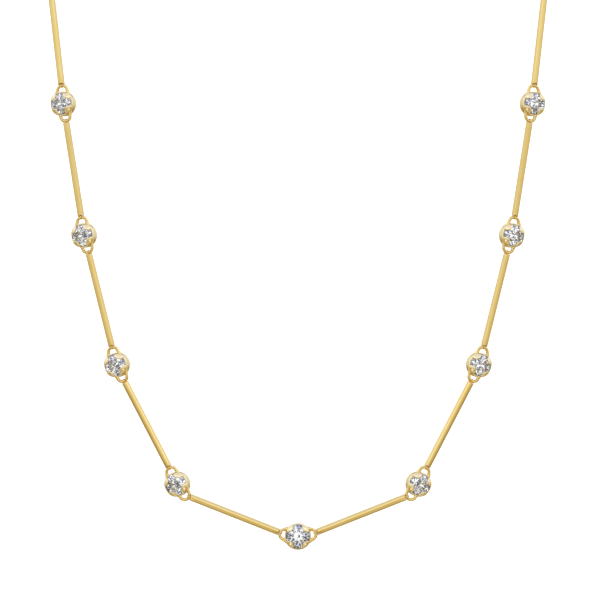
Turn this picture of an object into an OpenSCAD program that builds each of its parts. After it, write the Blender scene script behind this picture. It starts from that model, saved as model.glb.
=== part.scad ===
// Station necklace: straight gold bars that alternate with round brilliant stones in four-petal settings.
// Millimetres, +Z up. The origin is at the nape, in the middle of the clasp, and the front faces -Y.
// Every piece of the right side has its mirror image on the left.

/* [Chain] */
// Bar, from the middle of the loop at one end to the middle of the loop at the other
bar_pitch = 20; // [19.5:0.1:20.3]
// Setting, from the middle of its one loop to the middle of its other
setting_pitch = 4.8; // [4.7:0.05:5]
// Thickness of the round bar
bar_d = 1.25; // [1:0.05:1.4]
// How far the front of the necklace leans back from upright
front_lean = 22; // [18:1:26]

/* [Stones] */
// Girdle diameter of a side stone
stone_d = 3.9; // [3.8:0.05:4]
// Girdle diameter of the middle stone
middle_stone_d = 4.3; // [4:0.05:4.3]
// Width of the table as a share of the girdle
table_share = 0.57; // [0.53:0.01:0.62]
// Slope of the crown
crown_angle = 34.5; // [32:0.5:36]
// Slope of the pavilion
pavilion_angle = 40.75; // [40:0.25:42]
// How near the culet the lower halves end, as a share of the girdle
lower_half_share = 0.24; // [0.2:0.01:0.3]
// Height of the girdle
girdle_h = 0.12; // [0.08:0.01:0.16]

/* [Settings] */
// Wall of the collet beyond the girdle
collet_wall = 0.33; // [0.28:0.01:0.36]
// Height of the girdle above the middle of the loops
girdle_z = 0.35; // [0.3:0.01:0.4]
// Depth of the foot of the collet below the middle of the loops
foot_z = 1.5; // [1.4:0.05:1.6]
// How far a petal reaches over the crown from the girdle
petal_reach = 0.6; // [0.5:0.02:0.7]
// Radius of the rounded outline of a petal
petal_r = 1.1; // [1:0.05:1.2]
// Thickness of a petal
petal_t = 0.24; // [0.2:0.01:0.28]
// Height of the slot under each petal
slot_h = 0.22; // [0.16:0.01:0.3]
// Angle that each slot takes up
slot_angle = 46; // [36:1:50]
// How far the collet hangs to the outside of the line through its loops
hang = 0.38; // [0.2:0.02:0.42]

/* [Links] */
// Radius of a setting's loop, to the middle of its wire
loop_r = 0.95; // [0.92:0.01:1]
// Thickness of the loop's wire
loop_wire_d = 0.6; // [0.5:0.05:0.6]
// Thickness of the wire of the bar's eye
eye_wire_d = 0.26; // [0.22:0.02:0.3]
// Gap between pieces that meet
gap = 0.05; // [0.04:0.005:0.055]

/* [Clasp] */
// Half of the clasp zone, from the nape to where a loop of the chain would be
clasp_half = 7.2; // [7:0.1:7.6]
// Thickness of the clasp
clasp_d = 0.9; // [0.8:0.05:0.9]
// Half width of the closed claw, to the middle of its metal
claw_r = 1.7; // [1.6:0.05:2]
// Where the claw's round end towards the neck begins, from the nape
claw_left = -3.2; // [-3.4:0.1:-3]

/* [Hidden] */
SIDES = ["r", "l"];
BARS = 8;
SETTINGS = 7;

$fn = 48;
right = [1, 0, 0];
back = [0, cos(front_lean), -sin(front_lean)];
up = [0, sin(front_lean), cos(front_lean)];
gold = [0.86, 0.72, 0.42];
diamond = [0.9, 0.92, 0.94];

// Links of one side that the front plane holds, from the middle outwards.
// columns: length, swing up from level in that plane, lean out of the plane towards the back
front_links = [
    [bar_pitch, 21.5, 5],
    [setting_pitch, 60, 5],
    [bar_pitch, 62.5, 5.5],
    [setting_pitch, 70, 5],
    [bar_pitch, 76, 4],
    [setting_pitch, 78, 4],
    [bar_pitch, 81, 4],
    [setting_pitch, 83, 6],
    [bar_pitch, 83.5, 11]
];
// Links that go on round the neck, up to the last bar.
// columns: length, heading seen from above (0 right, 90 back, 180 left), climb above level
neck_links = [
    [setting_pitch, 90, 52],
    [bar_pitch, 103, 46],
    [setting_pitch, 116, 38],
    [bar_pitch, 131, 29],
    [setting_pitch, 146, 20]
];
last_climb = 11;
// How far each setting's face is turned outwards, from the middle of the front to the nape
face_turns = [0, 20, 21, 22, 22, 50, 90, 140];

function unit(v) = v / norm(v);
function square_to(v, n) = unit(v - (v * n) * n);
function front_direction(swing, lean) =
    cos(lean) * (cos(swing) * right + sin(swing) * up) + sin(lean) * back;
function neck_direction(heading, climb) =
    [cos(climb) * cos(heading), cos(climb) * sin(heading), sin(climb)];

// The chain of one side as steps, and its corners, which are the middles of the loops
steps = concat(
    [for (l = front_links) l[0] * front_direction(l[1], l[2])],
    [for (l = neck_links) l[0] * neck_direction(l[1], l[2])]
);
function steps_to(k) = k == 0 ? setting_pitch / 2 * right : steps_to(k - 1) + steps[k - 1];
last_corner = steps_to(len(steps));
// The last bar's heading closes the loop: it ends half a clasp from the middle plane
last_heading = 180 - acos((last_corner[0] - clasp_half) / (bar_pitch * cos(last_climb)));
nape = last_corner + bar_pitch * neck_direction(last_heading, last_climb) - clasp_half * right;
corners = concat(
    [for (k = [0:len(steps)]) steps_to(k) - nape],
    [clasp_half * right]
);
front_middle = -nape;

// Setting i: its middle, its direction along the chain and the way that its face looks
function setting_middle(i) = i == 0 ? front_middle : (corners[2 * i - 1] + corners[2 * i]) / 2;
function setting_along(i) = i == 0 ? right : unit(corners[2 * i] - corners[2 * i - 1]);
function setting_face(i) =
    square_to(sin(face_turns[i]) * right - cos(face_turns[i]) * back, setting_along(i));

// A bar hangs on the far side of each loop's wire: from the loop's middle, by the loop's radius,
// along the bar and in the loop's own plane
function eye_middle(corner, bar, face) = corner + loop_r * square_to(bar, face);
eye_r = loop_wire_d / 2 + gap + eye_wire_d / 2;

// The two rings that meet at the nape: the end ring joins the last bar on the right to the claw
ring_zone = 1.1;
claw_end = clasp_half - ring_zone;
ring_inner = (claw_end - clasp_d / 2 - 2 * gap - loop_wire_d / 2) * right;
nape_face = [0, 1, 0];
last_bar_along = unit(corners[2 * BARS - 1] - corners[2 * BARS - 2]);
ring_outer = corners[2 * BARS - 1] - loop_r * last_bar_along;
ring_along = unit(ring_inner - ring_outer);
ring_r = norm(ring_inner - ring_outer) / 2;
ring_face = cross(ring_along, nape_face);

// Places a piece with its x along the first direction and its z as near as can be to the second
module placed(middle, along, face) {
    z = square_to(face, along);
    y = cross(z, along);
    multmatrix([
        [along[0], y[0], z[0], middle[0]],
        [along[1], y[1], z[1], middle[1]],
        [along[2], y[2], z[2], middle[2]],
        [0, 0, 0, 1]
    ]) children();
}

module on_side(s) {
    mirror([s == "l" ? 1 : 0, 0, 0]) children();
}

module wire_ring(r, wire_d) {
    rotate_extrude() translate([r, 0]) circle(d = wire_d);
}

// Round brilliant: table, eight stars, eight kites, sixteen upper and sixteen lower halves, eight mains
module stone(d) {
    r = d / 2;
    table_r = r * table_share;
    star_r = (table_r * cos(22.5) + r) / 2;
    half_r = r * lower_half_share;
    crown_rise = tan(crown_angle);
    pavilion_drop = tan(pavilion_angle);
    function at(radius, turn, z) = [radius * cos(turn), radius * sin(turn), z];
    crown_z = girdle_h / 2 + (r - table_r) * crown_rise;
    star_z = girdle_h / 2 + (r - star_r * cos(22.5)) * crown_rise;
    half_z = -girdle_h / 2 - (r - half_r * cos(22.5)) * pavilion_drop;
    culet_z = -girdle_h / 2 - r * pavilion_drop;
    points = concat(
        [for (k = [0:7]) at(table_r, 45 * k, crown_z)],
        [for (k = [0:7]) at(star_r, 45 * k + 22.5, star_z)],
        [for (k = [0:15]) at(r, 22.5 * k, girdle_h / 2)],
        [for (k = [0:15]) at(r, 22.5 * k, -girdle_h / 2)],
        [for (k = [0:7]) at(half_r, 45 * k + 22.5, half_z)],
        [[0, 0, culet_z]]
    );
    // Where each ring of corners begins in the list of points
    star = 8;
    upper = 16;
    lower = 32;
    half = 48;
    culet = 56;
    faces = concat(
        [[for (k = [7:-1:0]) k]],
        [for (k = [0:7]) [k, (k + 1) % 8, star + k]],
        [for (k = [0:7]) [k, star + k, upper + 2 * k, star + (k + 7) % 8]],
        [for (k = [0:7]) [star + k, upper + 2 * k + 1, upper + 2 * k]],
        [for (k = [0:7]) [star + k, upper + (2 * k + 2) % 16, upper + 2 * k + 1]],
        [for (k = [0:15]) [upper + k, upper + (k + 1) % 16, lower + (k + 1) % 16, lower + k]],
        [for (k = [0:7]) [lower + 2 * k, lower + 2 * k + 1, half + k]],
        [for (k = [0:7]) [lower + 2 * k + 1, lower + (2 * k + 2) % 16, half + k]],
        [for (k = [0:7]) [lower + 2 * k, half + k, culet, half + (k + 7) % 8]]
    );
    color(diamond) translate([0, -hang, girdle_z]) polyhedron(points, faces);
}

// The ledge under the stone, the bevel of the foot, the low rim's drop below the girdle,
// the top of the slots, how far the loops' ends run into the wall, and a length past every wall
seat_w = 0.2;
foot_bevel = 0.16;
rim_drop = 0.02;
slot_top = -0.5;
bury = 0.12;
past = 1;

// Wall of the collet in section: foot, outside, rounded lip over the crown, seat of the stone, inside
module collet_section(d) {
    r = d / 2;
    wall_r = r + collet_wall;
    tip_r = r - petal_reach;
    seat_r = r - seat_w;
    pocket_r = r + gap;
    // The crown's facets stand out a little from a plain cone between its kites
    facet_bulge = 0.025 * r;
    lift = gap / cos(crown_angle) + facet_bulge;
    drop = gap / cos(pavilion_angle);
    function over_crown(x) = girdle_z + girdle_h / 2 + lift + (r - x) * tan(crown_angle);
    function under_pavilion(x) = girdle_z - girdle_h / 2 - drop - (r - x) * tan(pavilion_angle);
    polygon([
        [seat_r, -foot_z],
        [wall_r - foot_bevel, -foot_z],
        [wall_r - 0.3 * foot_bevel, -foot_z + 0.3 * foot_bevel],
        [wall_r, -foot_z + foot_bevel],
        [wall_r, over_crown(wall_r) + 0.2 * petal_t],
        [wall_r - 0.3 * petal_t, over_crown(wall_r) + 0.8 * petal_t],
        [r, over_crown(r) + petal_t],
        [tip_r + petal_t / 2, over_crown(tip_r + petal_t / 2) + petal_t],
        [tip_r, over_crown(tip_r) + petal_t / 2],
        [tip_r, over_crown(tip_r)],
        [pocket_r, over_crown(pocket_r)],
        [pocket_r, under_pavilion(pocket_r)],
        [seat_r, under_pavilion(seat_r)]
    ]);
}

// Collet with four petals on the diagonals, low rims between them, and a slot under each petal
module collet(d) {
    wall_r = d / 2 + collet_wall;
    rim_z = girdle_z - rim_drop;
    petal_middle = d / 2 - petal_reach + petal_r;
    difference() {
        rotate_extrude() collet_section(d);
        difference() {
            translate([0, 0, rim_z]) cylinder(r = wall_r + past, h = 2 * past);
            for (a = [45:90:315]) rotate(a)
                translate([petal_middle, 0, rim_z - past]) cylinder(r = petal_r, h = 4 * past);
        }
        for (a = [45:90:315]) rotate(a - slot_angle / 2)
            rotate_extrude(angle = slot_angle)
                translate([wall_r - past, slot_top - slot_h]) square([2 * past, slot_h]);
    }
}

// Setting: the collet and the two loops that are soldered to its wall
module setting(d) {
    wall_r = d / 2 + collet_wall;
    color(gold) {
        translate([0, -hang, 0]) collet(d);
        for (side = [-1, 1]) difference() {
            translate([side * setting_pitch / 2, 0, 0]) wire_ring(loop_r, loop_wire_d);
            translate([0, -hang, -past]) cylinder(r = wall_r - bury, h = 2 * past);
        }
    }
}

// Straight bar with an eye at each end. An eye's wire ring lies square to the wire that it holds.
// A hold is the loop that an end meets: its middle, the way that its face looks, and its radius.
// The rod's end is hollowed to the loop's outside.
module bar(start, end, start_hold, end_hold) {
    along = unit(end - start);
    length = norm(end - start);
    color(gold) {
        difference() {
            placed(start, square_to(start_hold[1], along), along) cylinder(d = bar_d, h = length);
            for (hold = [start_hold, end_hold])
                placed(hold[0], square_to(along, hold[1]), hold[1])
                    cylinder(r = hold[2] + loop_wire_d / 2 + gap, h = 2 * bar_d, center = true);
        }
        for (place = [[start, start_hold[1]], [end, end_hold[1]]]) {
            wire = cross(place[1], square_to(along, place[1]));
            placed(place[0], square_to(along, wire), wire) wire_ring(eye_r, eye_wire_d);
        }
    }
}

// Bar i of a side. The last one holds the clasp's own loop on the left, and the end ring on the right.
module side_bar(i, s) {
    start_corner = corners[2 * i - 2];
    end_corner = corners[2 * i - 1];
    along = unit(end_corner - start_corner);
    start_face = setting_face(i - 1);
    end_face = i < BARS ? setting_face(i) : nape_face;
    holds_end_ring = i == BARS && s == "r";
    start = eye_middle(start_corner, along, start_face);
    end = holds_end_ring ? ring_outer : eye_middle(end_corner, -along, end_face);
    end_hold = holds_end_ring ? [(ring_inner + ring_outer) / 2, ring_face, ring_r]
        : [end_corner, end_face, loop_r];
    on_side(s) bar(start, end, [start_corner, start_face, loop_r], end_hold);
}

module side_setting(i, s) {
    on_side(s) placed(setting_middle(i), setting_along(i), setting_face(i)) setting(stone_d);
}

module side_stone(i, s) {
    on_side(s) placed(setting_middle(i), setting_along(i), setting_face(i)) stone(stone_d);
}

module stone_mid() {
    placed(setting_middle(0), right, setting_face(0)) stone(middle_stone_d);
}

module setting_mid() {
    placed(setting_middle(0), right, setting_face(0)) setting(middle_stone_d);
}

// Closed claw: a long oval of round metal, a neck and the loop that the left side hangs on
module clasp() {
    claw_right = claw_end - claw_r;
    tail_right = -clasp_half + loop_r;
    neck_d = 1.2 * loop_wire_d;
    neck_length = claw_left - claw_r - tail_right;
    color(gold) rotate([90, 0, 0]) {
        translate([claw_right, 0, 0]) rotate(-90)
            rotate_extrude(angle = 180) translate([claw_r, 0]) circle(d = clasp_d);
        translate([claw_left, 0, 0]) rotate(90)
            rotate_extrude(angle = 180) translate([claw_r, 0]) circle(d = clasp_d);
        for (side = [-1, 1]) translate([claw_left, side * claw_r, 0])
            rotate([0, 90, 0]) cylinder(d = clasp_d, h = claw_right - claw_left);
        translate([tail_right - bury, 0, 0])
            rotate([0, 90, 0]) cylinder(d = neck_d, h = neck_length + 2 * bury);
        translate([-clasp_half, 0, 0]) wire_ring(loop_r, loop_wire_d);
    }
}

module end_ring() {
    color(gold) placed((ring_inner + ring_outer) / 2, ring_along, ring_face) wire_ring(ring_r, loop_wire_d);
}

stone_mid();
setting_mid();
for (s = SIDES) for (i = [1:SETTINGS]) {
    side_stone(i, s);
    side_setting(i, s);
}
for (s = SIDES) for (i = [1:BARS])
    side_bar(i, s);
clasp();
end_ring();
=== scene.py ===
from math import acos, asin, atan2, cos, hypot, pi, radians, sin, tan

import bpy
import numpy as np
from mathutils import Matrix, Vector


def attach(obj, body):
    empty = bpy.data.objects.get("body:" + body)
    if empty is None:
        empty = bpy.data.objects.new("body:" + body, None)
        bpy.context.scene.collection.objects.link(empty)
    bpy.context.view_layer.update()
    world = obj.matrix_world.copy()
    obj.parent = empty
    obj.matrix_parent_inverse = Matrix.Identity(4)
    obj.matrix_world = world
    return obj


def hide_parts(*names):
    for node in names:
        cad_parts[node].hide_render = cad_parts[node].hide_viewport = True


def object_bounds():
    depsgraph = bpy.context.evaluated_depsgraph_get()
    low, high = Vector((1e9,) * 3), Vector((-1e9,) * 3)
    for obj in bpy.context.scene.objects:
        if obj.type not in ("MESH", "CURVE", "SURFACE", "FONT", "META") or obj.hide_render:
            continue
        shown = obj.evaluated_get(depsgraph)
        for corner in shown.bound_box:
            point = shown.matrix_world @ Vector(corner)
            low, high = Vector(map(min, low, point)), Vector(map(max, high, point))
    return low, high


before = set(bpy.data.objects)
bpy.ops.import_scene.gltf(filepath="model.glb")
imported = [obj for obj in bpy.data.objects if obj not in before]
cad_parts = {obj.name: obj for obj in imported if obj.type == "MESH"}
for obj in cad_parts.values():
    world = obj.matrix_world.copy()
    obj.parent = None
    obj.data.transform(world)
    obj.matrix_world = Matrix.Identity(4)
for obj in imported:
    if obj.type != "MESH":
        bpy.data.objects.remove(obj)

bl_info = {
    "name": "Station necklace",
    "version": (1, 0, 0),
    "blender": (4, 5, 0),
    "location": "3D View > Sidebar > Necklace",
    "description": "Straight gold bars and round brilliants in four-petal settings",
    "category": "Object",
}

CAD_BOX = [list(corner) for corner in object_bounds()]
BODY = "root"
MM = 0.001
SIDES = ("r", "l")
SETTINGS = 7
BARS = 8
RIGHT = np.array([1.0, 0.0, 0.0])
NAPE_FACE = np.array([0.0, 1.0, 0.0])
# Edges of the smoothed pieces stay crisp past this angle
CRISP = radians(40)

# Links of one side that the front plane holds, from the middle outwards:
# what the link is, its swing up from level in that plane, its lean towards the back
FRONT_LINKS = (
    ("bar", 21.5, 5), ("setting", 60, 5), ("bar", 62.5, 5.5), ("setting", 70, 5),
    ("bar", 76, 4), ("setting", 78, 4), ("bar", 81, 4), ("setting", 83, 6), ("bar", 83.5, 11),
)
# Links that go on round the neck: what the link is, its heading seen from above, its climb
NECK_LINKS = (
    ("setting", 90, 52), ("bar", 103, 46), ("setting", 116, 38), ("bar", 131, 29), ("setting", 146, 20),
)
LAST_CLIMB = 11
# How far each setting's face is turned outwards, from the middle of the front to the nape
FACE_TURNS = (0, 20, 21, 22, 22, 50, 90, 140)
# How far each stone is turned in its seat, middle first, then the right side and the left
STONE_TURNS = {"mid": 14, "r": (1, 44, 40, 39, 9, 26, 2), "l": (24, 20, 40, 1, 35, 19, 29)}


def number(name, what, value, **kind):
    return bpy.props.FloatProperty(name=name, description=what, default=value, **kind)


def mm(name, what, value):
    return number(name, what, value * MM, unit="LENGTH", precision=5)


def degrees(name, what, value):
    return number(name, what, radians(value), subtype="ANGLE")


def share(name, what, value):
    return number(name, what, value, min=0, max=1, subtype="FACTOR")


def colour(name, what, value):
    return bpy.props.FloatVectorProperty(
        name=name, description=what, default=value, size=3, min=0, max=4, subtype="COLOR")


class NecklaceChain(bpy.types.PropertyGroup):
    """Sizes of the bars, of their loops and of the whole route"""

    bar_pitch: mm("Bar", "From the loop at one end to the loop at the other", 20)
    setting_pitch: mm("Setting", "From one loop of a setting to its other", 4.8)
    bar_d: mm("Bar thickness", "Diameter of the round bar", 1.25)
    front_lean: degrees("Front lean", "How far the front leans back from upright", 22)
    loop_r: mm("Loop", "Radius of a setting's loop, to the middle of its wire", 0.95)
    loop_wire_d: mm("Loop wire", "Thickness of the loop's wire", 0.6)
    eye_wire_d: mm("Eye width", "Width of the flat wire of the bar's eye", 0.26)
    eye_t: mm("Eye thickness", "Thickness of the eye's flat wire", 0.13)
    eye_gap: mm("Eye gap", "Gap between a bar's eye and the loop in it", 0.02)
    gap: mm("Gap", "Gap between pieces that meet", 0.05)
    clasp_half: mm("Half clasp", "From the nape to the chain's last loop", 7.2)
    ring_zone: mm("Ring zone", "From the claw's end to the chain's last loop", 1.1)
    claw_r: mm("Claw", "Half width of the claw, to the middle of its metal", 1.7)
    clasp_d: mm("Claw thickness", "Thickness of the claw's metal", 0.9)
    claw_left: mm("Claw heel", "From the nape to where the claw's heel rounds", 3.2)


class NecklaceStone(bpy.types.PropertyGroup):
    """Proportions of the round brilliants"""

    side_d: mm("Side stones", "Girdle diameter of a side stone", 3.9)
    middle_d: mm("Middle stone", "Girdle diameter of the middle stone", 4.3)
    table: share("Table", "Width of the table as a share of the girdle", 0.57)
    crown: degrees("Crown", "Slope of the crown", 34.5)
    pavilion: degrees("Pavilion", "Slope of the pavilion", 40.75)
    girdle_h: mm("Girdle", "Height of the girdle", 0.12)
    halves: share("Lower halves", "Where the lower halves end, from the culet", 0.24)
    index: number("Refraction", "Refractive index", 2.417, min=0)
    gloss: share("Surface gloss", "Strength of the facets' outer reflection", 0.14)


class NecklaceSetting(bpy.types.PropertyGroup):
    """Sizes of the four-petal settings"""

    wall: mm("Wall", "Wall of the collet beyond the girdle", 0.33)
    girdle_z: mm("Girdle height", "Girdle above the middle of the loops", 0.35)
    foot_z: mm("Foot", "Depth of the foot below the middle of the loops", 1.5)
    reach: mm("Petal reach", "How far a petal reaches over the crown", 0.6)
    petal_r: mm("Petal width", "Radius of the rounded outline of a petal", 1.1)
    petal_t: mm("Petal thickness", "Thickness of a petal", 0.24)
    slot_h: mm("Slot", "Height of the slot under each petal", 0.22)
    slot_angle: degrees("Slot angle", "Angle that each slot takes up", 46)
    hang: mm("Hang", "How far the collet hangs to the outside of its loops", 0.38)


class NecklaceFinish(bpy.types.PropertyGroup):
    """Colours of the metal, of the stones and of the floor"""

    gold: colour("Gold", "Colour of the polished gold", (0.82, 0.60, 0.25))
    gold_warm: colour("Warm gold", "Deeper patches of the polished gold", (0.80, 0.57, 0.21))
    # The settings' pale golds are a painted highlight: the same gold made paler for the light the settings
    # catch
    pale: colour("Pale gold", "Colour of the cast settings", (0.93, 0.765, 0.49))
    pale_warm: colour("Warm pale gold", "Deeper patches of the settings", (0.91, 0.73, 0.43))
    edge: colour("Edge", "Tint of the gold at a grazing look", (0.78, 0.74, 0.62))
    # Unpolished gold inside the collets; its darker colour is painted shade by the stone
    inside: colour("Inside", "Unpolished gold inside the collets", (0.50, 0.47, 0.42))
    polish: share("Polish", "Roughness where the metal is best polished", 0.05)
    haze: share("Haze", "Roughness where handling has dulled the metal", 0.12)
    satin: share("Satin", "Extra roughness of the cast settings", 0.13)
    floor: colour("Floor", "Colour of the plain pale floor", (0.85, 0.85, 0.85))


# Route of the chain


def unit(v):
    return v / np.linalg.norm(v)


def square_to(v, n):
    """The part of v that is square to n, at length 1."""
    return unit(v - (v @ n) * n)


def neck_way(heading, climb):
    """Direction of a link on the neck."""
    level = cos(climb)
    return np.array([level * cos(heading), level * sin(heading), sin(climb)])


class Route:
    """Places of the loops and settings of the right side, worked out link by link from the middle of the
    front. Each step is the link's length along its direction. The last bar's heading closes the loop at the
    nape."""

    def __init__(self, chain):
        lean = chain.front_lean
        self.back = np.array([0, cos(lean), -sin(lean)])
        self.up = np.array([0, sin(lean), cos(lean)])
        lengths = {"bar": chain.bar_pitch, "setting": chain.setting_pitch}
        places = [chain.setting_pitch / 2 * RIGHT]
        for kind, swing, tilt in FRONT_LINKS:
            s, t = radians(swing), radians(tilt)
            way = cos(t) * (cos(s) * RIGHT + sin(s) * self.up)
            places.append(places[-1] + lengths[kind] * (way + sin(t) * self.back))
        for kind, heading, climb in NECK_LINKS:
            places.append(places[-1] + lengths[kind] * neck_way(radians(heading), radians(climb)))
        climb = radians(LAST_CLIMB)
        level = chain.bar_pitch * cos(climb)
        heading = pi - acos((places[-1][0] - chain.clasp_half) / level)
        nape = places[-1] + chain.bar_pitch * neck_way(heading, climb) - chain.clasp_half * RIGHT
        self.corners = [p - nape for p in places] + [chain.clasp_half * RIGHT]
        self.front_middle = -nape

    def station(self, i):
        """Middle of setting i, the chain's direction there, and the direction that it faces."""
        middle, along = self.front_middle, RIGHT
        if i > 0:
            before, after = self.corners[2 * i - 1], self.corners[2 * i]
            middle, along = (before + after) / 2, unit(after - before)
        t = radians(FACE_TURNS[i])
        return middle, along, square_to(sin(t) * RIGHT - cos(t) * self.back, along)


def stations():
    """Label, number from the middle, and side of every setting and its stone."""
    return [("mid", 0, "r")] + [(f"{s}{i}", i, s) for s in SIDES for i in range(1, SETTINGS + 1)]


# Meshes: a shell is a pair of points, one row each, and a list of faces


def full_turn(n):
    """n angles spaced evenly round a circle."""
    return np.arange(n) * 2 * pi / n


def points_at(*coordinates):
    """Points from their coordinates, or faces from their corners, each spread to the same shape."""
    return np.stack(np.broadcast_arrays(*coordinates), -1)


def round_axis(radius, angle, height):
    """Points (radius cos angle, radius sin angle, height)."""
    return points_at(radius * np.cos(angle), radius * np.sin(angle), height)


def path_run(path):
    """How far each point of a path is from its start, along it."""
    return np.concatenate([[0], np.cumsum(np.linalg.norm(np.diff(path, axis=0), axis=1))])


def grid_quads(rows, columns, wrap_rows=False, wrap_columns=False):
    """Quads of a grid of points numbered row by row, facing row direction cross column direction."""
    i = np.arange(rows if wrap_rows else rows - 1)[:, None]
    j = np.arange(columns if wrap_columns else columns - 1)[None, :]
    i2, j2 = (i + 1) % rows, (j + 1) % columns
    return points_at(i * columns + j, i2 * columns + j, i2 * columns + j2, i * columns + j2)


def grid_faces(rows, columns, **wraps):
    return grid_quads(rows, columns, **wraps).reshape(-1, 4).tolist()


def wire_faces(rings, n, closed=False):
    """Faces of a wire made of rings of n points. An open wire's ends are closed with a flat cap."""
    faces = grid_faces(rings, n, wrap_rows=closed, wrap_columns=True)
    if not closed:
        last = (rings - 1) * n
        faces += [list(range(n)), [last + k for k in range(n)][::-1]]
    return faces


def join(shells):
    """One shell from several, numbered on from each other."""
    points, faces, start = [], [], 0
    for p, f in shells:
        points.append(p)
        faces += [[start + v for v in face] for face in f]
        start += len(p)
    return np.concatenate(points), faces


def placed(points, middle, along, face):
    """Points moved so that their x runs along the chain and their z as near as can be to face."""
    z = square_to(face, along)
    return middle + points @ np.stack([along, np.cross(z, along), z])


def on_side(side, shell):
    """The shell itself on the right, and its mirror image in the middle plane on the left."""
    points, faces = shell
    if side == "r":
        return shell
    return points * np.array([-1.0, 1.0, 1.0]), [face[::-1] for face in faces]


def turned_profile(profile, n=48):
    """Closed solid turned round the z axis. The profile is rows of radius and height from pole to pole,
    climbing on the outside, with radius 0 at both ends; a point is (radius cos u, radius sin u, height)."""
    inner = profile[1:-1]
    rings = round_axis(inner[:, 0], full_turn(n)[:, None], inner[:, 1]).reshape(-1, 3)
    poles = points_at(0, 0, profile[[0, -1], 1])
    low, high, m = len(rings), len(rings) + 1, len(inner)
    faces = grid_faces(n, m, wrap_rows=True)
    for k in range(n):
        a, b = k * m, (k + 1) % n * m
        faces += [[low, b, a], [high, a + m - 1, b + m - 1]]
    return np.concatenate([rings, poles]), faces


def tube(path, radii, binormal, closed=False, n=20, squash=1.0):
    """Round wire along a path that lies in the plane square to binormal. Ring k is
    path[k] + radii[k] (cos v normal + squash sin v binormal), where the normal is square to the path."""
    run = np.roll(path, -1, 0) - np.roll(path, 1, 0) if closed else np.gradient(path, axis=0)
    run /= np.linalg.norm(run, axis=1)[:, None]
    normal = np.cross(run, binormal)
    v = full_turn(n)[:, None]
    across = np.cos(v) * normal[:, None] + squash * np.sin(v) * binormal
    points = path[:, None] + radii[:, None, None] * across
    return points.reshape(-1, 3), wire_faces(len(path), n, closed)


def add_piece(name, shell, looks, node, look_of=None, smooth=True, lengthwise=None):
    """Object with the shell's mesh that stands for a CAD node. looks are its materials, look_of tells for
    each face which of them it has, and lengthwise is one vector for each point."""
    points, faces = shell
    mesh = bpy.data.meshes.new(name)
    mesh.from_pydata(points.tolist(), [], faces)
    for look in looks:
        mesh.materials.append(look)
    if look_of is not None:
        mesh.polygons.foreach_set("material_index", np.asarray(look_of, np.int32))
    if smooth:
        mesh.polygons.foreach_set("use_smooth", np.ones(len(mesh.polygons), bool))
        mesh.set_sharp_from_angle(angle=CRISP)
    if lengthwise is not None:
        layer = mesh.attributes.new("lengthwise", "FLOAT_VECTOR", "POINT")
        layer.data.foreach_set("vector", lengthwise.astype(np.float32).ravel())
    mesh.update()
    piece = bpy.data.objects.new(name, mesh)
    bpy.context.collection.objects.link(piece)
    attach(piece, BODY)
    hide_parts(node)


# Stones


GIRDLE_STEPS = 6


def brilliant(stone, d, turn):
    """Round brilliant with a flat table, eight stars, eight kites and sixteen upper halves above a round
    girdle, and sixteen lower halves and eight mains below it. Every facet is flat: its corners lie on one
    plane, and its edge on the girdle is that plane cut by the girdle's cylinder,
    height = z0 + slope . (x, y)."""
    r = d / 2
    crown, pavilion = tan(stone.crown), tan(stone.pavilion)
    half_h = stone.girdle_h / 2
    eighth, sixteenth = pi / 4, pi / 8
    table_r = r * stone.table
    star_r = (table_r * cos(sixteenth) + r) / 2
    half_r = r * stone.halves
    n = 16 * GIRDLE_STEPS
    k8 = np.arange(8)

    def level(radius, slope):
        """How far a corner between two mains is above or below the girdle's edge."""
        return (r - radius * cos(sixteenth)) * slope

    table = round_axis(table_r, k8 * eighth, half_h + (r - table_r) * crown)
    star = round_axis(star_r, k8 * eighth + sixteenth, half_h + level(star_r, crown))
    half = round_axis(half_r, k8 * eighth + sixteenth, -half_h - level(half_r, pavilion))

    def girdle(height, inner):
        """Points round the girdle. Each sector's plane goes through its two ends and a point within."""
        rim = round_axis(r, full_turn(n), height)
        sector = np.arange(n) // GIRDLE_STEPS
        start = rim[sector * GIRDLE_STEPS]
        end = rim[(sector + 1) * GIRDLE_STEPS % n]
        normal = np.cross(end - start, inner[sector // 2] - start)
        rim[:, 2] = start[:, 2] - ((rim[:, :2] - start[:, :2]) * normal[:, :2]).sum(1) / normal[:, 2]
        return rim

    points = np.concatenate([
        table, star, girdle(half_h, star), girdle(-half_h, half), half,
        [[0, 0, -half_h - r * pavilion]]])
    upper, lower, halves = 16, 16 + n, 16 + 2 * n
    culet = halves + 8
    faces = [list(range(8))]
    for k in range(8):
        after, before = (k + 1) % 8, (k + 7) % 8
        first = 2 * k * GIRDLE_STEPS
        faces += [[k, 8 + k, after], [k, 8 + before, upper + first, 8 + k],
                  [lower + first, halves + before, culet, halves + k]]
        for part in (0, 1):
            rim = [(first + part * GIRDLE_STEPS + s) % n for s in range(GIRDLE_STEPS + 1)]
            faces += [[8 + k] + [upper + s for s in rim], [halves + k] + [lower + s for s in rim[::-1]]]
    look_of = [0] * len(faces) + [1] * n
    for s in range(n):
        t = (s + 1) % n
        faces.append([lower + s, lower + t, upper + t, upper + s])
    c, s = cos(turn), sin(turn)
    return points @ np.array([[c, s, 0], [-s, c, 0], [0, 0, 1]]), faces, look_of


# Settings


# Points of each section's line from the outer wall over the petal and down the pocket
TOP_POINTS = 40
# Sections' angles from a petal's middle, as shares of the angle at its edge
LOBE_SHARES = np.array([0, .13, .26, .39, .51, .62, .71, .78, .84, .885, .92, .95, .972, .988, 1.0,
                        1.012, 1.03, 1.055, 1.09, 1.15, 1.25, 1.38, 1.53])


def quarter(x):
    """Height of a quarter circle that rises from 0 at 0 to 1 at 1 and stays there."""
    return np.sqrt(1 - (1 - np.clip(x, 0, 1)) ** 2)


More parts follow.
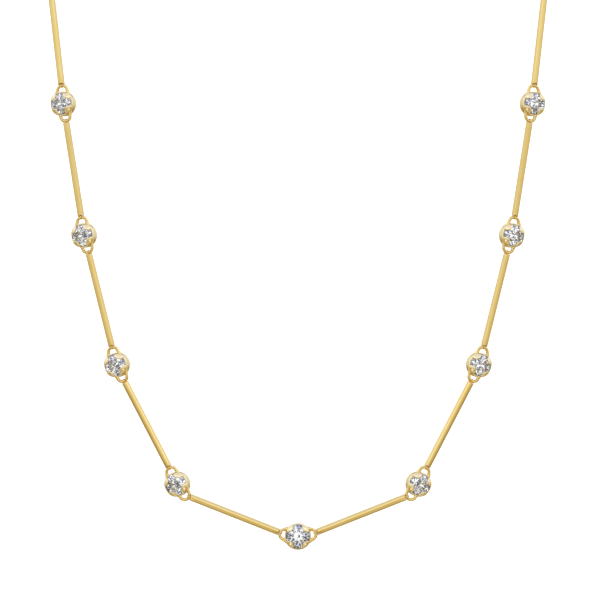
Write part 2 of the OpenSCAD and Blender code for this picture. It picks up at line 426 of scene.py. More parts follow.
def spread(values, weights, count):
    """Each row of points taken at count places evenly spaced in its weighted length."""
    step = np.linalg.norm(np.diff(values, axis=1), axis=2) * weights
    run = np.concatenate([np.zeros((len(values), 1)), np.cumsum(step, 1)], 1)
    run /= run[:, -1:]
    rows = np.arange(len(values))[:, None]
    goal = (np.linspace(0, 1, count)[None] + 2 * rows).ravel()
    flat = (run + 2 * rows).ravel()
    spaced = [np.interp(goal, flat, values[..., axis].ravel()) for axis in (0, 1)]
    return points_at(*spaced).reshape(len(values), count, 2)


def collet(stone, setting, d, gap):
    """Collet with four petals on the diagonals, low rims between them and a slot under each petal. It is a
    closed wall section carried round the axis, a function of the angle round and the place on the section.
    Inside a petal's round outline the top is the crown's slope plus the petal's thickness, which swells
    like a pillow and is rounded off at the outline as a quarter circle; outside it is a low rim."""
    r = d / 2
    ledge, crown_clear = 0.2 * MM, 0.025 * r
    wall, pocket, bore = r + setting.wall, r + gap, r - ledge
    tip = r - setting.reach
    centre = tip + setting.petal_r
    crown, pavilion = tan(stone.crown), tan(stone.pavilion)
    girdle, half_h, foot = setting.girdle_z, stone.girdle_h / 2, -setting.foot_z
    lift = gap / cos(stone.crown) + crown_clear
    under = girdle - half_h - gap / cos(stone.pavilion)

    def over_crown(x):
        return girdle + half_h + lift + (r - x) * crown

    # Angles of the sections, f from the petal's middle and theta round the whole collet
    diagonal, least_step, least_rim = pi / 4, 0.012, 0.02
    lobe = asin(setting.petal_r / centre)
    slot_half = setting.slot_angle / 2
    half_turn = LOBE_SHARES * lobe
    apart = np.abs(half_turn - slot_half) > least_step
    half_turn = half_turn[apart & (half_turn < diagonal - least_rim)]
    half_turn = np.sort(np.append(half_turn, slot_half))
    f = np.concatenate([-half_turn[:0:-1], half_turn, [diagonal]])
    theta = (np.arange(4)[:, None] * pi / 2 + diagonal + f[None]).reshape(-1, 1)
    f = np.tile(f, 4)[:, None]
    n = len(f)

    inside = np.abs(f) < lobe
    edge = centre * np.cos(f) - np.sqrt(np.clip(setting.petal_r ** 2 - (centre * np.sin(f)) ** 2, 0, None))
    end = np.where(inside, np.minimum(edge, pocket), pocket)

    # Over the top, from the wall inwards to the petal's edge
    way = (1 - np.cos(np.linspace(0, pi, 90))) / 2
    rho = wall + (end - wall) * way
    depth = setting.petal_r - np.sqrt(rho ** 2 + centre ** 2 - 2 * rho * centre * np.cos(f))
    pillow_half, middle_t, side_loss, ridge = 0.9 * MM, 1.1, 0.6, 0.4
    across = rho * np.sin(f) / pillow_half
    outward = (rho - (tip + wall) / 2) / ((wall - tip) / 2)
    thick = setting.petal_t * (
        middle_t - side_loss * across ** 2 + ridge * (1 - np.clip(outward, -1, 1) ** 2))
    rim_drop, rim_sag, blend_w, round_r = 0.02 * MM, 0.05 * MM, 0.1 * MM, 0.2 * MM
    rim = girdle - rim_drop - rim_sag * (np.abs(f) / diagonal) ** 2
    over = np.clip((pocket + blend_w / 2 - rho) / blend_w, 0, 1)
    base = rim + (over_crown(rho) - rim) * over
    top = base + (over_crown(rho) + thick - base) * quarter(depth / round_r)
    shoulder_w, shoulder_h = 0.24 * MM, 0.8
    top = top - shoulder_h * shoulder_w * (1 - quarter((wall - rho) / shoulder_w))
    rim_edge_w, rim_edge_h = 0.06 * MM, 0.05 * MM
    top = top - np.where(depth < 0, rim_edge_h * (1 - quarter((rho - pocket) / rim_edge_w)), 0)

    # Up the outside first, and back under the petal and down the pocket last
    start_z = -0.2 * MM
    outside = points_at(wall, start_z + (top[:, :1] - start_z) * np.linspace(0, 1, 12)[:-1])
    back = end + (pocket - end) * np.linspace(0, 1, 24)[1:]
    floor = np.where(inside, over_crown(back), np.minimum(top[:, -1:], over_crown(back)))
    seat_z = under + (pocket - r) * pavilion
    down = points_at(pocket, floor[:, -1:] + (seat_z - floor[:, -1:]) * np.linspace(0, 1, 6)[1:])
    line = np.concatenate([outside, points_at(rho, top), points_at(back, floor), down], 1)
    middle = (line[:, 1:, 0] + line[:, :-1, 0]) / 2
    closer, near_edge = 2.5, 0.12 * MM
    line = spread(line, 1 + closer * np.exp(-(((middle - end) / near_edge) ** 2)), TOP_POINTS)

    # The slot's lips curve up towards its ends like a crescent
    slot_z, slot_rise, end_opening = -0.62 * MM, 0.12 * MM, 0.02
    share = np.clip(np.abs(f) / slot_half, 0, 1)
    slot_mid = slot_z + slot_rise * share ** 2
    opening = setting.slot_h / 2 * np.sqrt(1 + end_opening - share ** 2)
    slot_low, slot_high = slot_mid - opening, slot_mid + opening

    # The foot's outer corner is a quarter circle. Adding 0 * f spreads a height over all sections
    foot_r, inner_run, foot_side = 0.16 * MM, 0.1 * MM, 0.4 * MM
    q = np.linspace(0, pi / 2, 6)
    foot_line = np.concatenate([
        points_at(np.array([bore, bore + inner_run]), foot + 0 * f),
        points_at(wall - foot_r + foot_r * np.sin(q), foot + foot_r - foot_r * np.cos(q) + 0 * f),
        points_at(wall, foot + foot_side + 0 * f)], 1)
    section = np.concatenate([
        foot_line, points_at(wall, slot_low), points_at(wall, slot_high), line,
        points_at(bore, under + (bore - r) * pavilion + 0 * f),
        points_at(bore, slot_high), points_at(bore, slot_low)], 1)
    m = section.shape[1]
    outer_low = foot_line.shape[1]
    outer_high, inner_high, inner_low = outer_low + 1, m - 2, m - 1
    rho, z = section[..., 0], section[..., 1]
    points = round_axis(rho, theta, z).reshape(-1, 3)

    # The wall is left open at the slots, and each slot gets a floor, a roof and two ends
    i = np.arange(n)
    after = (i + 1) % n
    rounding = 1e-6
    at_slot = np.abs(f[:, 0]) <= slot_half + rounding
    in_slot = at_slot & at_slot[after]
    keep = np.ones((n, m), bool)
    keep[np.ix_(in_slot, [outer_low, inner_high])] = False
    faces = grid_quads(n, m, wrap_rows=True, wrap_columns=True)[keep].tolist()

    def quads(*corners):
        """Faces from four corners, each a list of sections and a place on them."""
        return points_at(*[sections * m + place for sections, place in corners]).tolist()

    a, b = i[in_slot], after[in_slot]
    first, last = a[~np.isin(a, b)], b[~np.isin(b, a)]
    faces += quads((a, outer_low), (b, outer_low), (b, inner_low), (a, inner_low))
    faces += quads((a, outer_high), (a, inner_high), (b, inner_high), (b, outer_high))
    faces += quads((first, outer_low), (first, inner_low), (first, inner_high), (first, outer_high))
    faces += quads((last, outer_low), (last, outer_high), (last, inner_high), (last, inner_low))

    # Faces of the pocket and the bore are raw gold, its darker colour painted shade by the stone
    # How far past the pocket the painted contact shade reaches
    contact_shade_w = 0.07 * MM
    within = ((rho <= pocket + contact_shade_w) & (z < girdle)).ravel()
    return points, faces, within[np.array(faces)].all(1).astype(int).tolist()


def soldered_loop(chain, wall, hang, narrow=False, n=20):
    """Loop of round wire on the right of the collet, in the plane of the loops. Its middle line is an arc
    round the loop's middle and two straight runs that leave it towards the collet's sides, each square to
    its own radius. A narrow loop's outer run hardly spreads. Every lengthwise line of a run goes on until
    it meets a cylinder inside the wall, and the wire swells a little towards it, as solder does:
    point = end + wire (1 + solder bell of what is left to go) (cos v normal + sin v z) + s w run."""
    x0, r, wire = chain.setting_pitch / 2, chain.loop_r, chain.loop_wire_d / 2
    in_wall, clear, narrow_turn = 0.12 * MM, 0.02 * MM, -84
    solder, solder_flat, solder_fade = 0.22, 0.15 * MM, 0.28 * MM
    buried = wall - in_wall
    aside = buried - (1 + solder) * wire - clear
    spread = acos((aside - r) / hypot(x0, hang))
    low, high = atan2(hang, x0) - spread, atan2(hang, x0) + spread
    if narrow:
        low = radians(narrow_turn)
    v = full_turn(n)

    def around(t):
        return round_axis(np.cos(v), np.atleast_1d(t)[:, None], np.sin(v))

    def middle(t):
        return x0 * RIGHT + round_axis(r, np.atleast_1d(t)[:, None], 0)[:, None, 0]

    def run_in(t, way):
        run = way * np.array([-sin(t), cos(t), 0])
        ring, end = around(t)[0], middle(t)[0]
        first = (end + (1 + solder) * wire * ring + [0, hang, 0])[:, :2]
        b = first @ run[:2]
        s = -b - np.sqrt(b ** 2 - (first ** 2).sum(1) + buried ** 2)
        w = np.linspace(0, 1, 25)[1:, None]
        bell = np.exp(-(np.clip(s * (1 - w) - solder_flat, 0, None) / solder_fade) ** 2)
        return end + wire * (1 + solder * bell)[..., None] * ring + (s * w)[..., None] * run

    t = np.linspace(low, high, 60)
    points = np.concatenate([run_in(low, -1)[::-1], middle(t) + wire * around(t), run_in(high, 1)])
    return points.reshape(-1, 3), wire_faces(len(points), n)


# Bars, clasp and end ring


# Thickness along the claw's hook: shares of the way, then shares of the metal's thickness
HOOK_RUN, HOOK_THICK = (0, 0.12, 0.3, 0.62, 1), (1.05, 1.22, 1.16, 0.98, 0.86)
# Thumb piece: shares of its height, then its radius there in mm
THUMB_RUN, THUMB_R = (0, 0.35, 0.8, 1), (0.24, 0.2, 0.3, 0.3)
# Collar and its beads: middle as a share of the neck, height in mm, half width as a share of the neck
BEADS = ((0.5, 0.2, 0.13), (0.24, 0.08, 0.05), (0.76, 0.08, 0.05))


def wire_ring(r, wire_d, n=56, around=20, squash=1.0):
    """Torus round the z axis: ((r + w cos v) cos u, (r + w cos v) sin u, squash w sin v)."""
    path = round_axis(r, full_turn(n), 0)
    return tube(path, np.full(n, wire_d / 2), np.array([0, 0, 1.0]), closed=True, n=around, squash=squash)


def rod_profile(r, length, fillet):
    """Side line of a rod with rounded ends, each a quarter circle from the flat end to the side."""
    q = np.linspace(0, pi / 2, 9)
    low = points_at(r - fillet + fillet * np.sin(q), fillet - fillet * np.cos(q))
    high = points_at(low[::-1, 0], length - low[::-1, 1])
    side = points_at(r, np.linspace(fillet, length - fillet, 14)[1:-1])
    cap = points_at(r * np.array([0, 0.3, 0.6, 0.8]), 0)
    return np.concatenate([cap, low, side, high, [0, length] + cap[::-1]])


def cope(rod, length, outer, reach):
    """The rod with its two ends hollowed to the outside of the loops that they meet: near an end, a point
    at x across in the loop's plane moves out by as much as the loop's outer circle, of radius outer, falls
    back there. Within reach of the end this eases off as (1 - distance / reach) to the power of ease."""
    ease = 1.5
    fall = outer - np.sqrt(outer ** 2 - rod[:, 0] ** 2)
    z = rod[:, 2]
    near = np.clip(1 - np.minimum(z, length - z) / reach, 0, 1) ** ease
    rod[:, 2] = z + np.where(z < length / 2, -1, 1) * fall * near
    return rod


def bar(chain, start, end, start_wire, end_wire):
    """Straight rod between two eyes. Its own lengthwise coordinates go with it, for the polishing lines."""
    fillet, hollowed = 0.07 * MM, 1.2 * MM
    along = unit(end - start)
    rod_start = chain.loop_wire_d / 2 + chain.gap
    length = np.linalg.norm(end - start) - 2 * rod_start
    rod, rod_faces = turned_profile(rod_profile(chain.bar_d / 2, length, fillet))
    rod = cope(rod, length, chain.loop_r + rod_start, hollowed)
    eye_r = chain.loop_wire_d / 2 + chain.eye_gap + chain.eye_t / 2
    eye, eye_faces = wire_ring(eye_r, chain.eye_t, 40, 14, squash=chain.eye_wire_d / chain.eye_t)
    across = square_to(start_wire, along)
    turned = rod @ np.stack([across, np.cross(along, across), along])
    shells = [(start + rod_start * along + turned, rod_faces)]
    for place, wire in ((start, start_wire), (end, end_wire)):
        shells.append((placed(eye, place, square_to(along, wire), wire), eye_faces))
    return join(shells), np.concatenate([rod, eye, eye])


def rounded_ends(path, radii, start=True, end=True):
    """The radii with an end drawn in like a ball: within one radius r of it,
    radius = r sqrt(1 - (1 - distance / r)^2), and never less than a small share of r."""
    least = 0.06
    run = path_run(path)
    radii = np.array(radii, float)
    for wanted, distance in ((start, run), (end, run[-1] - run)):
        if wanted:
            radii = radii * np.maximum(quarter(distance / radii), least)
    return radii


def arc(middle, r, first, last, n):
    """Points of a circle's arc in the plane of x and z, from the first to the last angle in degrees."""
    t = np.radians(np.linspace(first, last, n))
    return points_at(middle + r * np.cos(t), 0, r * np.sin(t))


def level_line(first, last, z, n):
    return points_at(np.linspace(first, last, n), 0, z)


def fine_ends(path, reach, n=14):
    """The path with its first and last stretch of the given length cut into short steps."""
    run = path_run(path)
    ease = reach * (1 - np.cos(np.linspace(0, pi / 2, n)))
    inside = run[(run > reach) & (run < run[-1] - reach)]
    places = np.concatenate([ease, inside, run[-1] - ease[::-1]])
    return points_at(*[np.interp(places, run, column) for column in path.T])


def claw(left, right, r, wire_d):
    """Shells of the closed claw: a hook that is thick at the heel and slim at the tip, the sprung gate that
    meets its tip, its thumb piece, and the rivet that it turns on."""
    across = np.array([0, -1.0, 0])
    heel, tip_turn = 1.2 * MM, -75
    hook = np.concatenate([
        level_line(left + heel, left, -r, 10)[:-1], arc(left, r, -90, -270, 34)[:-1],
        level_line(left, right, r, 30)[:-1], arc(right, r, 90, tip_turn, 30)])
    hook = fine_ends(hook, 0.5 * MM)
    run = path_run(hook)
    thick = wire_d / 2 * np.interp(run / run[-1], HOOK_RUN, HOOK_THICK)
    shells = [tube(hook, rounded_ends(hook, thick), across, n=28, squash=1.12)]

    gate_x, gate_r, gate_tip_r = 0.5 * MM, 0.38 * MM, 0.36 * MM
    gate = np.concatenate([
        level_line(left + gate_x, right, -r, 34)[:-1], arc(right, r, -90, tip_turn + 1, 8)])
    gate = fine_ends(gate, 0.4 * MM)
    slim = np.interp(gate[:, 0], [left + heel, right], [gate_r, gate_tip_r])
    shells.append(tube(gate, rounded_ends(gate, slim), across, n=24, squash=1.15))

    thumb_x, thumb_lean, thumb_z, thumb_h = 2.1 * MM, 0.35 * MM, 0.1 * MM, 0.85 * MM
    q = np.linspace(0, 1, 22)
    thumb = points_at(left + thumb_x - thumb_lean * q ** 2, 0, -r - thumb_z - thumb_h * q)
    swell = np.interp(q, THUMB_RUN, THUMB_R) * MM
    shells.append(tube(thumb, rounded_ends(thumb, swell, start=False), across, n=20, squash=1.5))

    rivet_x, reach, dome, head = 0.62 * MM, 0.56 * MM, 0.1 * MM, 0.27 * MM
    q = np.linspace(0, pi / 2, 8)
    low = points_at(head * np.sin(q), -reach - dome * np.cos(q))
    rivet, rivet_faces = turned_profile(np.concatenate([low, low[::-1] * [1, -1]]), 32)
    shells.append(([left + rivet_x, 0, -r] + rivet[:, [0, 2, 1]] * [1, 1, -1], rivet_faces))
    return shells


def collar_neck(start, length, r):
    """Neck turned round the x axis, with a collar between two fine beads: radius = r + half ellipses."""
    x = np.concatenate([[0], np.linspace(0, length, 72), [length]])
    swell = np.zeros_like(x)
    for middle, height, half in BEADS:
        distance = np.clip(np.abs(x / length - middle) / half, 0, 1)
        swell = np.maximum(swell, height * MM * np.sqrt(1 - distance ** 2))
    radius = r + swell
    radius[[0, -1]] = 0
    points, faces = turned_profile(points_at(radius, x), 36)
    return points[:, [2, 0, 1]] + start * RIGHT, faces


def end_ring_places(chain, route):
    """Where the end ring meets the claw, where it meets the last bar on the right, and its direction."""
    from_nape = chain.clasp_half - chain.ring_zone - chain.clasp_d / 2 - 2 * chain.gap - chain.loop_wire_d / 2
    inner = from_nape * RIGHT
    last = unit(route.corners[-1] - route.corners[-2])
    outer = route.corners[-1] - chain.loop_r * last
    return inner, outer, unit(inner - outer)


# Finishes


class Shading:
    """Nodes of a material or of the world, each added with numbers, colours and other nodes' outputs."""

    def __init__(self, owner):
        owner.use_nodes = True
        self.nodes, self.links = owner.node_tree.nodes, owner.node_tree.links

    def put(self, node, inputs):
        """Sets a node's inputs, or joins them to other nodes."""
        for key, value in inputs.items():
            if isinstance(value, bpy.types.NodeSocket):
                self.links.new(value, node.inputs[key])
            else:
                node.inputs[key].default_value = value

    def add(self, kind, inputs, output=0, **settings):
        """The output of a new node."""
        node = self.nodes.new("ShaderNode" + kind)
        for name, value in settings.items():
            setattr(node, name, value)
        self.put(node, inputs)
        return node.outputs[output]

    def noise(self, place, scale, detail, roughness=0.5):
        inputs = {"Vector": place, "Scale": scale, "Detail": detail, "Roughness": roughness}
        return self.add("TexNoise", inputs, "Fac")

    def ranged(self, value, low, high, to_low, to_high, **settings):
        inputs = {"Value": value, "From Min": low, "From Max": high, "To Min": to_low, "To Max": to_high}
        return self.add("MapRange", inputs, "Result", **settings)

    def blend(self, share, first, second):
        return self.add("Mix", {0: share, 6: first, 7: second}, 2, data_type="RGBA")

    def bump(self, height, strength, distance):
        return self.add("Bump", {"Height": height, "Strength": strength, "Distance": distance}, "Normal")

    def maths(self, operation, *values):
        return self.add("Math", dict(enumerate(values)), operation=operation)

    def towards(self, way, direction):
        """Cosine of the angle between a way and a fixed direction."""
        return self.add("VectorMath", {0: way, 1: tuple(direction)}, "Value", operation="DOT_PRODUCT")

    def ramp(self, value, stops, interpolation="LINEAR"):
        """Colour by value, where each stop is a value and its colour."""
        colour = self.add("ValToRGB", {"Fac": value}, "Color")
        ramp = colour.node.color_ramp
        ramp.interpolation = interpolation
        while len(ramp.elements) < len(stops):
            ramp.elements.new(0.5)
        for element, (place, tone) in zip(ramp.elements, stops):
            element.position = place
            element.color = (*tone, 1)
        return colour


def new_material(name):
    """A new material, its nodes, its shader and the place on the object."""
    material = bpy.data.materials.new(name)
    tree = Shading(material)
    return material, tree, tree.nodes["Principled BSDF"], tree.add("TexCoord", {}, "Object")


def gold_finish(finish, name, cast=False, lengthwise=False):
    """Polished yellow gold: slow patches between two golds, handling haze in the roughness, and a faint
    ripple. Cast gold is more satin, and is painted paler as a painted highlight for the light that the
    settings catch. On the bars, fine polishing lines run lengthwise."""
    material, tree, shader, place = new_material(name)
    main_gold, warm, satin = finish.gold, finish.gold_warm, 0.0
    if cast:
        # Paler gold here is a painted highlight; the extra satin roughness is real
        main_gold, warm, satin = finish.pale, finish.pale_warm, finish.satin
    if lengthwise:
        own = tree.add("Attribute", {}, "Vector", attribute_name="lengthwise")
        drawn_out = tree.add("Mapping", {"Vector": own, "Scale": (1, 1, 0.02)})
        relief = tree.bump(tree.noise(drawn_out, 9000, 2), 0.02, 0.03 * MM)
    else:
        relief = tree.bump(tree.noise(place, 1600, 2), 0.05, 0.06 * MM)
    patches = tree.ranged(tree.noise(place, 260, 3), 0.35, 0.65, 0, 1)
    tree.put(shader, {
        "Metallic": 1.0,
        "Specular Tint": (*finish.edge, 1),
        "Base Color": tree.blend(patches, (*main_gold, 1), (*warm, 1)),
        "Roughness": tree.ranged(
            tree.noise(place, 900, 4, 0.6), 0.35, 0.7, finish.polish + satin, finish.haze + satin),
        "Normal": relief,
    })
    return material


def raw_gold_and_shade_finish(finish, name):
    """Dull gold as cast, inside the collets: a grainy surface whose darker colour is painted shade by the
    stone, with more painted shade in its hollows.
    """
    material, tree, shader, place = new_material(name)
    grain = tree.noise(place, 3500, 4, 0.6)
    hollow_shade = [0.6 * c for c in finish.inside]
    tree.put(shader, {
        "Metallic": 1.0,
        "Base Color": tree.ramp(grain, ((0.35, hollow_shade), (0.65, finish.inside))),
        "Roughness": tree.ranged(grain, 0.3, 0.7, 0.35, 0.55),
        "Normal": tree.bump(grain, 0.3, 0.05 * MM),
    })
    return material


def diamond_finish(stone, name, frosted=False):
    """Clear stone of high refraction, with the faintest warm and cool places. The girdle is frosted."""
    material, tree, shader, place = new_material(name)
    cool, warm = (0.97, 0.985, 1.0), (1.0, 0.995, 0.985)
    tree.put(shader, {
        "Transmission Weight": 1.0,
        "IOR": stone.index,
        "Base Color": tree.ramp(tree.noise(place, 700, 1), ((0, cool), (1, warm))),
    })
    if frosted:
        tree.put(shader, {"Roughness": tree.ranged(tree.noise(place, 9000, 2), 0.3, 0.7, 0.25, 0.45)})
    else:
        tree.put(shader, {"Roughness": 0.0, "Specular IOR Level": stone.gloss})
    return material


# Stage


# What the metal mirrors of the room, by height from straight below, -1, to straight above, 1
METAL_ROOM = (
    (-1.0, (0.68, 0.69, 0.54)), (-0.75, (0.55, 0.50, 0.30)), (-0.4, (0.48, 0.41, 0.20)),
    (-0.14, (0.74, 0.71, 0.54)), (0.0, (0.84, 0.86, 0.77)), (0.2, (0.90, 0.95, 0.96)),
    (0.5, (1.06, 1.16, 1.30)), (0.7, (1.0, 1.08, 1.20)), (0.95, (0.85, 0.95, 1.20)),
)
# Two soft lamps on each diagonal: the diagonals in degrees, then each lamp's angle from the lens and its
# brightness, and how far from its middle it begins and is full
DIAGONALS = (47, 133, -47, -133)
LAMPS = ((1.12, 1.7), (0.74, 1.35))
LAMP_EDGE, LAMP_FULL = 0.2, 0.08
# What the stones see of the room: rings round the lens, each tone from its angle in degrees, and cells
# beyond them, each tone from its share of the cells. A little blue balances the gold's warm light
RINGS_END = 42
STONE_RINGS = ((0, 0.01), (10, 1.2), (20, 0.4), (30, 0.01))
STONE_CELLS = ((0, 0.01), (0.48, 0.25), (0.54, 0.9), (0.77, 2.3))
CELLS_SHIFT, CELLS_SCALE = (2.0, 4.6, 1.4), 6
COOL = (0, 0.005, 0.05)
WHITE = (1.0, 1.0, 1.0, 1)
# Middle of the photograph from the middle of the front, its width there, and the camera's distance
PHOTO_RIGHT, PHOTO_UP, PHOTO_WIDTH = 0.39 * MM, 43.25 * MM, 0.1107
CAMERA_AWAY, SENSOR_WIDTH = 1.6, 36


def pale_floor(context, finish):
    """Plain floor under the necklace. It glows with painted light that rises away from the object, so that it
    stays pale grey under it and has no far edge. The polished pieces mirror the room and not the floor."""
    half, below, light_start, light_end, light = 4.0, 0.12, 0.04, 0.2, 0.5
    z = CAD_BOX[0][2] - below
    x = np.array([-half, half])
    mesh = bpy.data.meshes.new("floor")
    mesh.from_pydata(points_at(x[:, None], x, z).reshape(-1, 3).tolist(), [], grid_faces(2, 2))
    material, tree, shader, place = new_material("floor_pale")
    middle = (0, (CAD_BOX[0][1] + CAD_BOX[1][1]) / 2, z)
    away = tree.add("VectorMath", {0: place, 1: middle}, "Value", operation="DISTANCE")
    tree.put(shader, {
        "Base Color": (*finish.floor, 1),
        "Roughness": 0.9,
        "Specular IOR Level": 0.0,
        "Emission Color": WHITE,
        # Painted glow: the floor's own light, none under the object and rising with distance from it
        "Emission Strength": tree.ranged(away, light_start, light_end, 0.0, light),
    })
    mesh.materials.append(material)
    floor = bpy.data.objects.new("floor", mesh)
    context.collection.objects.link(floor)
    floor.visible_glossy = floor.visible_transmission = False


def metal_room(tree, way, route):
    """A white room that is a little cool above the camera's level, and dimmer and warmer below it, with the
    soft lamps on the diagonals, which the petals mirror."""
    height = tree.maths("MULTIPLY_ADD", tree.towards(way, route.up), 0.5, 0.5)
    room = tree.ramp(height, [((place + 1) / 2, colour) for place, colour in METAL_ROOM])
    for turn in DIAGONALS:
        t = radians(turn)
        aside = cos(t) * RIGHT + sin(t) * route.up
        for lean, bright in LAMPS:
            lamp = unit(cos(lean) * -route.back + sin(lean) * aside)
            lit = tree.ranged(tree.towards(way, lamp), cos(LAMP_EDGE), cos(LAMP_FULL), 0, 1,
                              interpolation_type="SMOOTHSTEP")
            room = tree.blend(lit, room, (bright, bright, bright, 1))
    return room


def stone_room(tree, way, route):
    """Rings of black, white and grey round the lens, and cells of four tones further out."""
    def tones(value, steps):
        return tree.ramp(value, [(place, [tone + c for c in COOL]) for place, tone in steps], "CONSTANT")

    angle = tree.maths("ARCCOSINE", tree.towards(way, -route.back))
    tilt = tree.maths("DIVIDE", angle, radians(RINGS_END))
    rings = tones(tilt, [(start / RINGS_END, tone) for start, tone in STONE_RINGS])
    shifted = tree.add("VectorMath", {0: way, 1: CELLS_SHIFT})
    cells = tree.add("TexVoronoi", {"Vector": shifted, "Scale": CELLS_SCALE}, "Color")
    share = tree.add("SeparateColor", {"Color": cells}, "Red")
    return tree.blend(tree.maths("GREATER_THAN", tilt, 1.0), rings, tones(share, STONE_CELLS))


def studio(scene, route):
    """World by direction. Light that went through a stone sees the stones' room, mirrored light the
    metal's, and the camera and the pieces' own colours plain white."""
    world = bpy.data.worlds.new("studio")
    tree = Shading(world)
    way = tree.add("TexCoord", {}, "Generated")
    ray = tree.nodes.new("ShaderNodeLightPath").outputs
    room = tree.blend(ray["Is Transmission Ray"], metal_room(tree, way, route), stone_room(tree, way, route))
    for kind in ("Is Diffuse Ray", "Is Camera Ray"):
        room = tree.blend(ray[kind], room, WHITE)
    tree.put(tree.nodes["Background"], {"Color": room, "Strength": 1.0})
    scene.world = world


def aim(context, name, data, place, target):
    """New lamp or camera at a place, looking at the target with z up."""
    thing = bpy.data.objects.new(name, data)
    context.collection.objects.link(thing)
    thing.location = Vector(place)
    thing.rotation_euler = (Vector(target) - Vector(place)).to_track_quat("-Z", "Y").to_euler()
    return thing


def soft_box(context, route, middle):
    """Lamp before the middle of the necklace, which lights the inner sides of the bars on both halves."""
    width, height, before, glow = 0.05, 0.08, 0.06, 0.12
    light = bpy.data.lights.new("soft_box", "AREA")
    light.shape, light.size, light.size_y = "RECTANGLE", width, height
    light.energy = glow * pi * width * height
    lamp = aim(context, "soft_box", light, middle - before * route.back, middle)
    lamp.visible_camera = lamp.visible_transmission = False


def photo_camera(context, route, middle):
    lens = bpy.data.cameras.new("photo_camera")
    lens.sensor_width = SENSOR_WIDTH
    lens.lens = SENSOR_WIDTH * CAMERA_AWAY / PHOTO_WIDTH
    lens.clip_start, lens.clip_end = 0.1, 20
    context.scene.camera = aim(context, "photo_camera", lens, middle - CAMERA_AWAY * route.back, middle)


# Operators


def sizes(context):
    """The four groups of properties and the route."""
    scene = context.scene
    return *(getattr(scene, name) for name in GROUPS), Route(scene.necklace_chain)


class NECKLACE_OT_stones(bpy.types.Operator):
    """Cut the fifteen round brilliants, each turned its own way in its seat"""

    bl_idname = "necklace.stones"
    bl_label = "Cut stones"

    def execute(self, context):
        _, stone, setting, _, route = sizes(context)
        looks = [diamond_finish(stone, "diamond_polished"), diamond_finish(stone, "diamond_girdle", True)]
        for label, i, side in stations():
            d = stone.side_d if i else stone.middle_d
            turn = STONE_TURNS[side][i - 1] if i else STONE_TURNS["mid"]
            points, faces, look_of = brilliant(stone, d, radians(turn))
            points = placed(points + [0, -setting.hang, setting.girdle_z], *route.station(i))
            add_piece(f"brilliant_{label}", on_side(side, (points, faces)), looks, f"stone_{label}",
                      look_of, smooth=False)
        return {"FINISHED"}


class NECKLACE_OT_settings(bpy.types.Operator):
    """Make the fifteen four-petal settings with their two soldered loops"""

    bl_idname = "necklace.settings"
    bl_label = "Make settings"

    def execute(self, context):
        chain, stone, setting, finish, route = sizes(context)
        # The settings' paler gold carries a painted highlight
        looks = [gold_finish(finish, "gold_cast_and_polished_painted_highlight", cast=True),
                 # The gold inside the collets is rough, and darkened as painted shade by the stone
                 raw_gold_and_shade_finish(finish, "gold_inside_painted_shade"), gold_finish(finish, "gold_loops")]
        made = {}
        for kind, d in (("side", stone.side_d), ("mid", stone.middle_d)):
            points, faces, look_of = collet(stone, setting, d, chain.gap)
            wall = d / 2 + setting.wall
            points, faces = join([
                (points - [0, setting.hang, 0], faces), soldered_loop(chain, wall, setting.hang),
                on_side("l", soldered_loop(chain, wall, setting.hang, narrow=kind == "side"))])
            made[kind] = points, faces, look_of + [2] * (len(faces) - len(look_of))
        for label, i, side in stations():
            points, faces, look_of = made["side" if i else "mid"]
            shell = on_side(side, (placed(points, *route.station(i)), faces))
            add_piece(f"petal_setting_{label}", shell, looks, f"setting_{label}", look_of)
        return {"FINISHED"}


class NECKLACE_OT_bars(bpy.types.Operator):
    """Make the sixteen straight bars, each with an eye at both ends"""

    bl_idname = "necklace.bars"
    bl_label = "Make bars"

    def execute(self, context):
        chain, _, _, finish, route = sizes(context)
        gold = gold_finish(finish, "gold_drawn_and_polished", lengthwise=True)
        for i in range(1, BARS + 1):
            first, last = route.corners[2 * i - 2], route.corners[2 * i - 1]
            along = unit(last - first)
            first_face = route.station(i - 1)[2]
            last_face = route.station(i)[2] if i < BARS else NAPE_FACE
            start = first + chain.loop_r * square_to(along, first_face)
            start_wire = np.cross(first_face, square_to(along, first_face))
            for side in SIDES:
                if i == BARS and side == "r":
                    _, end, ring_along = end_ring_places(chain, route)
                    end_wire = square_to(NAPE_FACE, ring_along)
                else:
                    end = last + chain.loop_r * square_to(-along, last_face)
                    end_wire = np.cross(last_face, square_to(along, last_face))
                shell, own = bar(chain, start, end, start_wire, end_wire)
                add_piece(f"polished_bar_{side}{i}", on_side(side, shell), [gold], f"bar_{side}{i}",
                          lengthwise=own)
        return {"FINISHED"}


class NECKLACE_OT_clasp(bpy.types.Operator):
    """Make the closed claw clasp and the end ring that it holds"""

    bl_idname = "necklace.clasp"
    bl_label = "Make clasp"

    def execute(self, context):
        chain, _, _, finish, route = sizes(context)
        gold = gold_finish(finish, "gold_clasp")
        r = chain.claw_r
        right = chain.clasp_half - chain.ring_zone - r
        left = -chain.claw_left
        tail_right = -chain.clasp_half + chain.loop_r
        bite = 0.12 * MM
        shells = claw(left, right, r, chain.clasp_d)
        shells.append(collar_neck(tail_right - bite, left - r - tail_right + 2 * bite, chain.loop_wire_d / 2))
        loop, loop_faces = wire_ring(chain.loop_r, chain.loop_wire_d)
        shells.append((placed(loop, -chain.clasp_half * RIGHT, RIGHT, -NAPE_FACE), loop_faces))
        add_piece("claw_clasp", join(shells), [gold], "clasp")
        inner, outer, along = end_ring_places(chain, route)
        ring, ring_faces = wire_ring(np.linalg.norm(inner - outer) / 2, chain.loop_wire_d)
        ring = placed(ring, (inner + outer) / 2, along, np.cross(along, NAPE_FACE))
        add_piece("jump_ring", (ring, ring_faces), [gold], "end_ring")
        return {"FINISHED"}


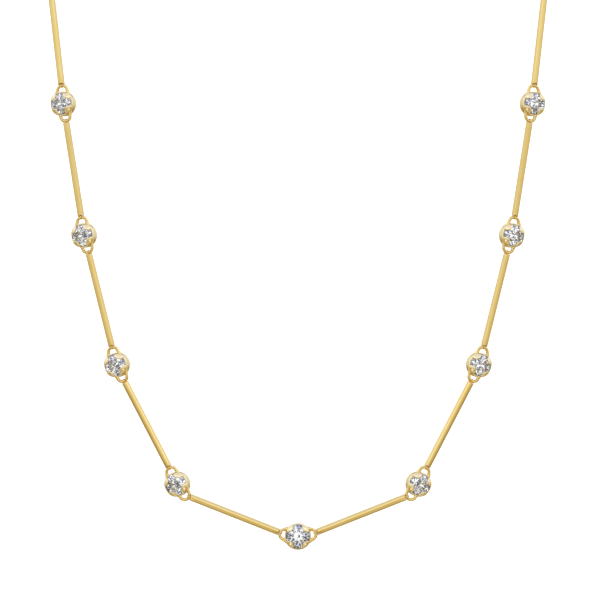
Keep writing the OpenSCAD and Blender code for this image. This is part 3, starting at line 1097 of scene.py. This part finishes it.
class NECKLACE_OT_stage(bpy.types.Operator):
    """Set the plain pale floor, the soft studio light and the camera at the photograph's angle"""

    bl_idname = "necklace.stage"
    bl_label = "Set stage"

    def execute(self, context):
        _, _, _, finish, route = sizes(context)
        scene = context.scene
        middle = route.front_middle + PHOTO_RIGHT * RIGHT + PHOTO_UP * route.up
        pale_floor(context, finish)
        studio(scene, route)
        soft_box(context, route, middle)
        photo_camera(context, route, middle)
        scene.view_settings.view_transform = "Standard"
        scene.cycles.glossy_bounces = scene.cycles.transmission_bounces = 12
        scene.cycles.max_bounces = 16
        return {"FINISHED"}


class NECKLACE_PT_panel(bpy.types.Panel):
    """Steps of the necklace, in order"""

    bl_label = "Station necklace"
    bl_idname = "NECKLACE_PT_panel"
    bl_space_type = "VIEW_3D"
    bl_region_type = "UI"
    bl_category = "Necklace"

    def draw(self, context):
        for operator in OPERATORS:
            self.layout.operator(operator.bl_idname)
        for group in GROUPS:
            box = self.layout.box()
            holder = getattr(context.scene, group)
            for name in holder.__annotations__:
                box.prop(holder, name)


GROUPS = {
    "necklace_chain": NecklaceChain,
    "necklace_stone": NecklaceStone,
    "necklace_setting": NecklaceSetting,
    "necklace_finish": NecklaceFinish,
}
OPERATORS = (NECKLACE_OT_settings, NECKLACE_OT_stones, NECKLACE_OT_bars, NECKLACE_OT_clasp, NECKLACE_OT_stage)


def register():
    for cls in (*GROUPS.values(), *OPERATORS, NECKLACE_PT_panel):
        bpy.utils.register_class(cls)
    for name, group in GROUPS.items():
        setattr(bpy.types.Scene, name, bpy.props.PointerProperty(type=group))


def unregister():
    for name in GROUPS:
        delattr(bpy.types.Scene, name)
    for cls in (NECKLACE_PT_panel, *reversed(OPERATORS), *reversed(GROUPS.values())):
        bpy.utils.unregister_class(cls)


def main():
    register()
    for name in ("settings", "stones", "bars", "clasp", "stage"):
        if getattr(bpy.ops.necklace, name)() != {"FINISHED"}:
            raise RuntimeError(f"necklace.{name} didn't finish")


if __name__ == "__main__":
    main()
